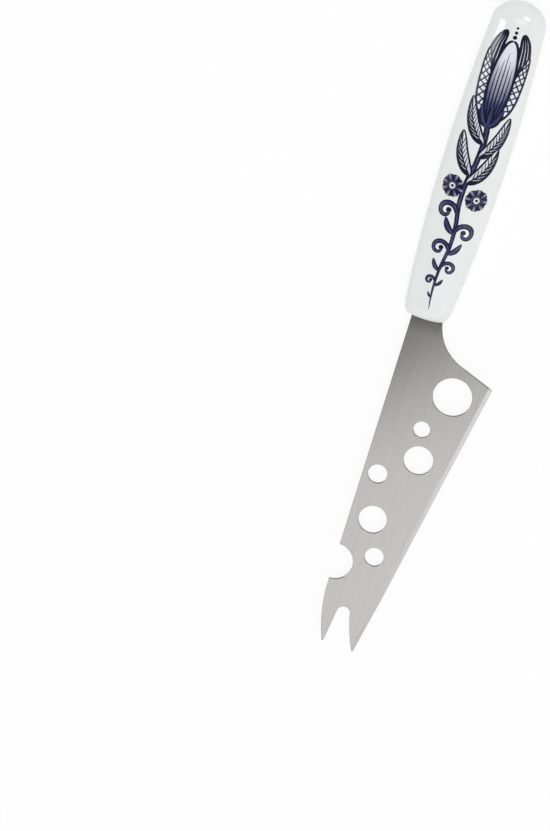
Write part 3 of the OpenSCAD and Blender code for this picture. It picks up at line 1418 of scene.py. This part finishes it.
@dataclass(frozen=True)
class Leaf(Motif):
    """A leaf with one dark half and one pale half with veins.

    Args:
        points: Places from its root to its tip.
        layer: The lowest of its three layers.
        dark: 1 or -1, the side of its rib that is dark.
        veins: How many veins the pale half has.
        brush: Its width.
        pale_load: Paint of the pale half at the root and at the tip.
        dark_load: Paint of the dark half there.
        rib_run: The shares of the length at which the rib starts and ends.
        first_vein: The share at which the first vein starts.
        vein_field: The share over which the starts of all veins are spread.
        vein: The sides at which a vein starts and ends, 1 being the dark edge, and its length.
        glint: The same for the pale glint opposite.
    """

    points: tuple[Place, ...]
    layer: int
    dark: int
    veins: int
    brush: Brush = Brush(4.2, 0.5, 0.7)
    pale_load: Place = (0.2, -0.1)
    dark_load: Place = (0.9, 0.5)
    rib_run: Place = (0.02, 0.94)
    first_vein: float = 0.14
    vein_field: float = 0.66
    vein: tuple[float, float, float] = (0.0, -0.86, 0.16)
    glint: tuple[float, float, float] = (0.12, 0.72, 0.14)

    def paint(self, on: "Ornament") -> None:
        """Adds the wash, the dark half, the rib and the veins, each with a pale glint opposite.

        Args:
            on: The ornament that gets them.
        """
        top = self.layer + 2
        wash = on.petal(on.curve(self.points), self.brush, self.layer, self.pale_load, LEAF_RIM)
        half = wash.across(0.5 * self.dark)
        on.add(Stroke(half, self.brush.scaled(0.5), self.layer + 1, load=self.dark_load))
        on.add(Stroke(wash.across(0.0, *self.rib_run, 24), RIB, top))
        for k in range(self.veins):
            start = self.first_vein + self.vein_field * k / self.veins
            vein, glint = (wash.slant(first * self.dark, last * self.dark, start, length)
                           for first, last, length in (self.vein, self.glint))
            on.add(Stroke(vein, LEAF_VEIN, top))
            on.add(Stroke(glint, LEAF_GLINT, top, Tone.WASH, (0.1, 0.1)))


@dataclass(frozen=True)
class Flower(Motif):
    """An open flower of even petals round a dotted eye.

    Args:
        centre: Its middle.
        turn: How far its first petal is turned from the butt's side, in radians.
        radius: Its radius.
        petals: How many petals it has.
        layer: The lowest of its four layers.
        eye: Radius of the eye as a share of its own.
        pip: Radius of the dot in the eye, likewise.
        petal_root: Where a petal starts, likewise.
        petal_girth: Width of all petals together, likewise.
        petal_load: Paint in a petal's core at its root and at its tip.
    """

    centre: Place
    turn: float = 0.0
    radius: float = 4.1
    petals: int = 8
    layer: int = 9
    eye: float = 0.33
    pip: float = 0.13
    petal_root: float = 0.3
    petal_girth: float = 5.4
    petal_load: Place = (1.1, 0.5)

    def paint(self, on: "Ornament") -> None:
        """Adds the petals, and the eye over them.

        Args:
            on: The ornament that gets them.
        """
        centre = np.array(self.centre)
        petal = Brush(self.petal_girth * self.radius / self.petals, 0.6, 0.3)
        for angle in self.turn + FULL_TURN * np.arange(self.petals) / self.petals:
            reach = np.array([-math.cos(angle), math.sin(angle)]) * self.radius
            path = evenly(np.array([centre + reach * self.petal_root, centre + reach]), 12)
            on.bold(path, petal, self.layer, self.petal_load)
        on.dot(centre, self.radius * self.eye, Tone.WASH, self.layer + 2, 0.0)
        on.add(Stroke(arc(centre, self.radius * self.eye, 0, 360), EYE_RIM, self.layer + 3))
        on.dot(centre, self.radius * self.pip, Tone.LINE, self.layer + 3)


@dataclass(frozen=True)
class Scroll(Motif):
    """A scroll that rolls off the stem and ends in a dot.

    Its point after the turn a lies at centre - reach (sin a, side cos a), where the centre is
    one radius beside the root and the reach is radius exp(-a / ease).

    Args:
        root: Where it leaves the stem.
        radius: Distance from the root to the middle of the scroll.
        side: 1 or -1, the side of the stem that it lies on.
        width: Its width at the widest.
        turns: How many turns it makes.
        ease: How slowly it closes in.
        count: Points along it.
        layer: Its layer.
    """

    root: Place
    radius: float
    side: int
    width: float
    turns: float = 1.08
    ease: float = 5.0
    count: int = 48
    layer: int = 2

    def paint(self, on: "Ornament") -> None:
        """Adds the scroll and its dot.

        Args:
            on: The ornament that gets them.
        """
        angle = np.linspace(0, self.turns * FULL_TURN, self.count)
        reach = self.radius * np.exp(-angle / self.ease)
        centre = np.asarray(self.root) + [0, self.side * self.radius]
        path = centre - reach[:, None] * np.column_stack([np.sin(angle), self.side * np.cos(angle)])
        on.bold(path, Brush(self.width, 0.12, 0.3), self.layer)
        on.dot(path[-1], self.width * 0.5, Tone.LINE, self.layer + 1)


@dataclass(frozen=True)
class Sprig(Motif):
    """A small bold leaf that bends away from the stem towards the butt.

    Args:
        root: Where it leaves the stem.
        size: How far its tip lies to the side.
        side: 1 or -1, the side of the stem that it lies on.
        shape: Its middle line as shares of the size, towards the butt and to the side.
        brush: Its width, as a share of the size.
        layer: Its layer.
    """

    root: Place
    size: float
    side: int
    shape: tuple[Place, ...] = ((0.0, 0.0), (0.5, 0.62), (1.25, 1.0))
    brush: Brush = Brush(0.52, 0.6, 0.7)
    layer: int = 4

    def paint(self, on: "Ornament") -> None:
        """Adds one bold stroke."""
        path = on.curve(laid(self.shape, self.root, self.size, self.side))
        on.bold(path, self.brush.scaled(self.size), self.layer)


CROWN = (-75.0, 0.2)
SPRAY: tuple[Motif, ...] = (
    Stem((CROWN, (-68, 0.9), (-60, 0.5), (-52, -0.7), (-44, -0.8), (-36, 0.4), (-28, 0.6), (-20, -0.4),
          (-12, -0.5), (-4.5, 0.3))),
    Tulip(CROWN),
    Beads((-106.0, CROWN[1])),
    Leaf(((-67, 0.9), (-70, -2.6), (-75, -5.6), (-82, -7.6)), layer=3, dark=1, veins=7),
    Leaf(((-62, 0.6), (-66, 4.0), (-71, 6.2), (-78, 7.4)), layer=3, dark=-1, veins=7),
    Leaf(((-55, -0.4), (-58.5, -3.4), (-63, -5.7), (-69.5, -7.2)), layer=6, dark=1, veins=6),
    Leaf(((-52, -0.7), (-55.5, 2.6), (-60, 4.9), (-66.5, 6.6)), layer=6, dark=-1, veins=6),
    Flower((-49.6, -5.0), turn=0.2),
    Flower((-46.9, 4.6)),
    Scroll((-40.5, -0.5), radius=4.0, side=-1, width=2.0),
    Scroll((-34.0, 0.5), radius=4.0, side=1, width=1.9),
    Scroll((-27.0, 0.5), radius=3.5, side=-1, width=1.7),
    Scroll((-20.5, -0.3), radius=2.9, side=1, width=1.45),
    Scroll((-15.0, -0.6), radius=2.0, side=-1, width=1.15),
    Sprig((-33.0, 0.5), size=4.4, side=-1),
    Sprig((-25.5, 0.4), size=4.0, side=1),
    Sprig((-19.0, -0.4), size=3.2, side=-1),
    Sprig((-13.5, -0.5), size=2.4, side=1),
    Sprig((-9.0, -0.2), size=1.6, side=-1),
)


@dataclass
class Ornament:
    """The blue sprig painted on the handle.

    It grows from the mouth towards the butt: a winding stem with scrolls, leaves and two open
    flowers, under one large tulip.

    Args:
        handle: The handle that carries it.
        strokes: All touches of paint.
        skin: Height of the first layer of paint over the glaze.
        layer_step: Height from one layer to the next.
        sunk: How far the paint reaches below the glaze's surface.
        spacing: The longest distance between two points of a stroke.
        fineness: Pairs of points across a stroke as wide as the spacing.
        least_steps: The fewest steps along a stroke.
        least_half: Half the width of a stroke's finest end.
        core: Share of a bold stroke's width that its lighter core takes.
        gather: How much more paint lies at the edges of a broad stroke.
        broad: The width over which a stroke is broad.
        slope_step: Distance over which the handle's slope is taken.
        oval_steps: Steps in the sum for the oval's arc length.
        smooth_to: The sharpest angle between two faces that is shaded smooth, in degrees.
    """

    handle: Handle
    strokes: list[Stroke] = field(default_factory=list)
    skin: float = 0.012
    layer_step: float = 0.006
    sunk: float = 0.02
    spacing: float = 0.45
    fineness: float = 0.7
    least_steps: int = 8
    least_half: float = 0.03
    core: float = 0.38
    gather: float = 0.3
    broad: float = 1.0
    slope_step: float = 0.02
    oval_steps: int = 399
    smooth_to: float = 50.0

    def curve(self, points: Sequence[Sequence[float]]) -> np.ndarray:
        """A smooth path through the given places."""
        return through(points, self.spacing)

    def add(self, stroke: Stroke) -> Stroke:
        """Adds a stroke and returns it."""
        self.strokes.append(stroke)
        return stroke

    def bold(self, path: np.ndarray, brush: Brush, layer: int, load: Place = (1.0, 0.95)) -> None:
        """A dark stroke along a path, with a lighter blue core of the given load on the next layer."""
        self.add(Stroke(path, brush, layer))
        self.add(Stroke(path, brush.scaled(self.core), layer + 1, Tone.WASH, load))

    def petal(self, path: np.ndarray, brush: Brush, layer: int, load: Place, rim: Brush) -> Stroke:
        """A wash with a dark line along each edge.

        Args:
            path: The middle line of the wash.
            brush: Its width.
            layer: Its layer. The lines lie two layers higher.
            load: Its paint at the start and at the end.
            rim: The width of the lines.

        Returns:
            The wash.
        """
        wash = self.add(Stroke(path, brush, layer, Tone.WASH, load))
        for side in (-1.0, 1.0):
            self.add(Stroke(wash.across(side), rim, layer + 2))
        return wash

    def dot(self, place: Sequence[float], radius: float, tone: Tone, layer: int, load: float = 0.9) -> None:
        """A round touch of the brush."""
        ends = np.array([place, place], float) + [[-radius, 0], [radius, 0]]
        self.add(Stroke(self.curve(ends), Brush(2 * radius, 0.5, 0.5), layer, tone, (load, load)))

    def surface(self, place: np.ndarray) -> np.ndarray:
        """Points of the handle's decorated side at places (distance, distance across).

        The distance across is measured along the oval, whose arc length comes from the sum of
        sqrt(cos^2 f + k^2 sin^2 f) over the angle f from its top, with k its thickness over
        its width.

        Args:
            place: An array whose last axis holds the two distances.

        Returns:
            The points, with a last axis of three.
        """
        half = self.handle.section(place[..., 0])
        ratio = self.handle.belly[1] / self.handle.belly[0]
        angle = quarter(self.oval_steps)
        speed = np.sqrt(np.cos(angle) ** 2 + (ratio * np.sin(angle)) ** 2)
        length = np.concatenate([[0], np.cumsum((speed[1:] + speed[:-1]) / 2 * np.diff(angle))])
        turn = np.interp(np.abs(place[..., 1]) / half[..., 0], length, angle) * np.sign(place[..., 1])
        across = self.handle.middle(place[..., 0]) + half[..., 0] * np.sin(turn)
        return np.stack([place[..., 0], across, half[..., 1] * np.cos(turn)], axis=-1)

    def raised(self, place: np.ndarray, rise: float) -> np.ndarray:
        """Points at one height over the decorated side, along its normal.

        The normal is the cross product of the surface's two slopes, taken over a short step.

        Args:
            place: An array whose last axis holds the two distances on the handle.
            rise: The height, below zero for a point in the glaze.

        Returns:
            The points, with a last axis of three.
        """
        ways = np.eye(2) * self.slope_step
        slopes = [self.surface(place + way) - self.surface(place - way) for way in ways]
        return self.surface(place) + unit(np.cross(*slopes)) * rise

    def stroke_mesh(self, stroke: Stroke) -> tuple[np.ndarray, np.ndarray, np.ndarray]:
        """A stroke as a thin closed strip that lies on the glaze.

        Each cross-section is a loop: across the top from edge to edge and back below the
        glaze's surface. The loops are joined into a tube, and a row of quads from the top to
        the bottom closes each end.

        Args:
            stroke: The stroke.

        Returns:
            Its points, the paint at each point, and its quads.
        """
        count = max(self.least_steps, math.ceil(steps(stroke.path).sum() / self.spacing))
        columns = 2 * math.ceil(self.fineness * stroke.brush.width / self.spacing)
        share, side = shares(count), np.linspace(-1, 1, columns)
        middle = evenly(stroke.path, count)
        half = np.maximum(stroke.brush.half_width(share), self.least_half)
        place = middle[:, None] + normals(middle)[:, None] * (half[:, None] * side)[..., None]
        above = self.raised(place, self.skin + self.layer_step * stroke.layer)
        below = self.raised(place, -self.sunk)
        rings = np.concatenate([above, below[:, ::-1]], axis=1)
        paint = (stroke.load[0] + (stroke.load[1] - stroke.load[0]) * share)[:, None]
        paint = paint + self.gather * side**4 * (stroke.brush.width > self.broad)
        load = np.concatenate([paint, paint[:, ::-1]], axis=1)
        around = 2 * columns
        step = np.arange(columns - 1)
        cap = np.column_stack([step, step + 1, around - 2 - step, around - 1 - step])
        quads = np.vstack([ring_faces(count + 1, around), cap[:, ::-1], cap + count * around])
        return rings.reshape(-1, 3), load.ravel(), quads

    def build(self, finishes: Mapping[Tone, Cobalt]) -> list[bpy.types.Object]:
        """Paints the ornament: one piece for each tone of blue.

        Args:
            finishes: The paint of each tone.

        Returns:
            The pieces.
        """
        for motif in SPRAY:
            motif.paint(self)
        pieces = []
        for tone in Tone:
            points, loads, quads = zip(*(self.stroke_mesh(s) for s in self.strokes if s.tone is tone))
            starts = np.cumsum([0] + [len(block) for block in points[:-1]])
            faces = np.vstack([block + start for block, start in zip(quads, starts)])
            mesh = Mesh(np.vstack(points), [faces]).outward()
            piece = add_object(tone.value, mesh, self.handle.where, [finishes[tone].build()])
            piece.data.shade_smooth()
            piece.data.set_sharp_from_angle(angle=math.radians(self.smooth_to))
            attribute = piece.data.attributes.new(LOAD, "FLOAT", "POINT")
            attribute.data.foreach_set("value", np.concatenate(loads).astype(np.float32))
            pieces.append(piece)
        return pieces


@dataclass(frozen=True)
class Lamp:
    """A soft rectangular lamp.

    Args:
        name: Its name.
        place: Its middle, in metres from the mouth.
        aim: The point that it faces, in metres from the mouth.
        size: Its width and height in metres.
        radiance: How bright its face is, where 1 is a white card in this light.
        mirrored: Whether glossy surfaces show it.
        lights: Whether it lights what is dull.
        roll: How far it is turned about the way it faces, in degrees.
    """

    name: str
    place: tuple[float, float, float]
    aim: tuple[float, float, float]
    size: tuple[float, float]
    radiance: float
    mirrored: bool = True
    lights: bool = True
    roll: float = 0.0

    def build(self, mouth: Vector) -> bpy.types.Object:
        """Adds the lamp.

        Args:
            mouth: The middle of the handle's mouth in the row frame, in metres.

        Returns:
            The lamp.
        """
        data = bpy.data.lights.new(self.name, "AREA")
        data.shape = "RECTANGLE"
        data.size, data.size_y = self.size
        data.energy = self.radiance * math.pi * self.size[0] * self.size[1]
        made = linked(self.name, data)
        made.location = mouth + Vector(self.place)
        facing = (Vector(self.aim) - Vector(self.place)).to_track_quat("-Z", "Y")
        made.rotation_euler = (facing @ Quaternion((0, 0, 1), math.radians(self.roll))).to_euler()
        made.visible_camera = False
        made.visible_glossy = self.mirrored
        made.visible_diffuse = self.lights
        return made


# Points that the lamps face: the handle's butt, and its mouth
BUTT, MOUTH = (-0.11, 0.0, 0.0), (0.0, 0.0, 0.0)
LAMPS = (
    Lamp("tip_card", (0.165, 0.0735, 0.15), (0.165, 0.0735, 0.0), (0.24, 0.30), 0.74, lights=False,
         roll=50.0),
    Lamp("left_card", (-0.02, -0.72, 0.52), BUTT, (0.22, 0.42), 5.0, lights=False),
    Lamp("right_window", (-0.69, 0.30, 0.62), BUTT, (0.28, 0.28), 6.5, lights=False),
    Lamp("crown_card", (-0.37, 0.06, 0.757), BUTT, (0.52, 0.35), 2.0, lights=False),
    Lamp("fill", (-0.10, 0.10, 1.1), MOUTH, (0.8, 0.8), 3.75, mirrored=False),
)


@dataclass(frozen=True)
class Studio:
    """The floor, the light and the camera.

    Args:
        where: The knife's frame.
        tilt: How far the camera leans towards the butt, in degrees.
        turn: How far the knife's axis is turned from the picture's upright, in degrees.
        distance: From the camera to the knife, in metres.
        sensor: Width of the camera's sensor.
        pixel: Millimetres to a pixel.
        picture: The picture's width and height in pixels.
        mouth_pixel: Where the middle of the mouth lies in the picture.
        zenith: How bright the sky is overhead.
        horizon: How bright it is at the horizon.
        haze: Height of a way, as the sine of its angle, up to which it is as bright as that.
        clearing: How fast it dims above the haze.
        floor_half: Half the floor's side, in metres.
        floor_grey: How pale the floor is under light.
        floor_glow: Share of its own white that a look at the floor finds.
    """

    where: KnifeFrame
    tilt: float = 16.9
    turn: float = 17.39
    distance: float = 7.5
    sensor: float = 36.0
    pixel: float = 0.3415
    picture: tuple[int, int] = (550, 831)
    mouth_pixel: tuple[float, float] = (426.40, 317.08)
    zenith: float = 0.2
    horizon: float = 1.0
    haze: float = 0.35
    clearing: float = 2.2
    floor_half: float = 6.0
    floor_grey: float = 0.95
    floor_glow: float = 0.88

    def camera(self) -> bpy.types.Object:
        """Places the camera so that the mouth and the knife's axis fall where the picture has them.

        Returns:
            The camera.
        """
        tilt, turn = math.radians(self.tilt), math.radians(self.turn)
        along = np.array([math.cos(tilt), 0, math.sin(tilt)])
        across = np.array([0.0, 1.0, 0.0])
        back = np.array([-math.sin(tilt), 0, math.cos(tilt)])
        right = -math.sin(turn) * along + math.cos(turn) * across
        up = -(math.cos(turn) * along + math.sin(turn) * across)
        off = (np.array(self.picture) / 2 - self.mouth_pixel) * self.pixel
        place = (self.where.mouth + right * off[0] - up * off[1]) * MM + back * self.distance
        data = bpy.data.cameras.new("camera")
        data.sensor_width = self.sensor
        data.lens = self.sensor * self.distance / (max(self.picture) * self.pixel * MM)
        data.clip_end = 3 * self.distance
        made = linked("camera", data)
        axes = Matrix(np.column_stack([right, up, back]).tolist()).to_4x4()
        made.matrix_world = Matrix.Translation(Vector(place)) @ axes
        bpy.context.scene.camera = made
        return made

    def world(self) -> None:
        """Lights the scene from all round: grey overhead, white towards the horizon."""
        world = bpy.data.worlds.new("studio")
        bpy.context.scene.world = world
        world.use_nodes = True
        shader = Shader(world.node_tree)
        way = shader.output("ShaderNodeTexCoord", "Generated")
        rise = Socket(shader, shader.node("ShaderNodeSeparateXYZ", {}, {0: way}).outputs["Z"])
        share = ((rise - self.haze) * self.clearing).clipped()
        colour = shader.blend(share, (self.horizon,) * 3, (self.zenith,) * 3)
        light = shader.node("ShaderNodeBackground", {}, {"Color": colour, "Strength": 1.0})
        shader.node("ShaderNodeOutputWorld", {}, {"Surface": light.outputs[0]})

    def floor(self) -> bpy.types.Object:
        """A plain white floor, lit by its own white where it is looked at, with a faint shadow.

        Returns:
            The floor.
        """
        half = self.floor_half
        corners = [(-half, -half, 0), (half, -half, 0), (half, half, 0), (-half, half, 0)]
        data = bpy.data.meshes.new("floor")
        data.from_pydata(corners, [], [(0, 1, 2, 3)])
        shader, material = Shader.material("pale_floor")
        camera, glossy, clear = (shader.output("ShaderNodeLightPath", name)
                                 for name in ("Is Camera Ray", "Is Glossy Ray", "Is Transmission Ray"))
        seen = camera.at_least(glossy).at_least(clear)
        matte = shader.node("ShaderNodeBsdfDiffuse", {}, {"Color": (*(self.floor_grey,) * 3, 1.0)})
        white = shader.node("ShaderNodeEmission", {}, {"Color": (1.0, 1.0, 1.0, 1.0), "Strength": 1.0})
        inputs = {"Fac": seen * self.floor_glow, 1: matte.outputs[0], 2: white.outputs[0]}
        surface = shader.node("ShaderNodeMixShader", {}, inputs)
        shader.node("ShaderNodeOutputMaterial", {}, {"Surface": surface.outputs[0]})
        data.materials.append(material)
        made = linked("floor", data)
        return made

    def build(self) -> None:
        """Sets up the camera, the floor, the world and the lamps."""
        bpy.context.scene.view_settings.view_transform = "Standard"
        self.camera()
        self.floor()
        self.world()
        for lamp in LAMPS:
            lamp.build(Vector(self.where.mouth * MM))
        LOG.info("studio: %d lamps", len(LAMPS))


def main() -> None:
    """Builds the knife and its studio."""
    logging.basicConfig(level=logging.INFO, format="%(name)s: %(message)s")
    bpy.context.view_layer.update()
    where = KnifeFrame.read()
    Studio(where).build()
    blade = Blade(where)
    edge_run = blade.edge_turn - blade.heel
    # The sheet gets painted shade that darkens it towards the handle's mouth
    sheet = BrushedSteel("brushed_sheet", dark=(0.543, 0.537, 0.523), light=(0.623, 0.617, 0.602),
                         roughness=0.26, streak=(30.0, 4200.0), joint=float(where.mouth[0]) * MM)
    bevel = BrushedSteel("ground_bevel", dark=(0.543, 0.537, 0.523), light=(0.623, 0.617, 0.605),
                         roughness=0.24, streak=(4200.0, 90.0), turn=-math.atan2(edge_run[1], edge_run[0]))
    sheared = BrushedSteel("sheared_edge", dark=(0.16, 0.16, 0.16), light=(0.26, 0.26, 0.255),
                           roughness=0.42, streak=(900.0, 900.0))
    blade.build(sheet, bevel, sheared)
    handle = Handle(where)
    handle.build(Glaze())
    Cement().dress()
    wash = Cobalt("cobalt_wash", pale=(0.72, 0.75, 0.81), deep=(0.034, 0.037, 0.128), mottle=0.3)
    line = Cobalt("cobalt_line", pale=(0.018, 0.018, 0.060), deep=(0.007, 0.007, 0.024), mottle=0.5)
    Ornament(handle).build({Tone.WASH: wash, Tone.LINE: line})


if __name__ == "__main__":
    main()
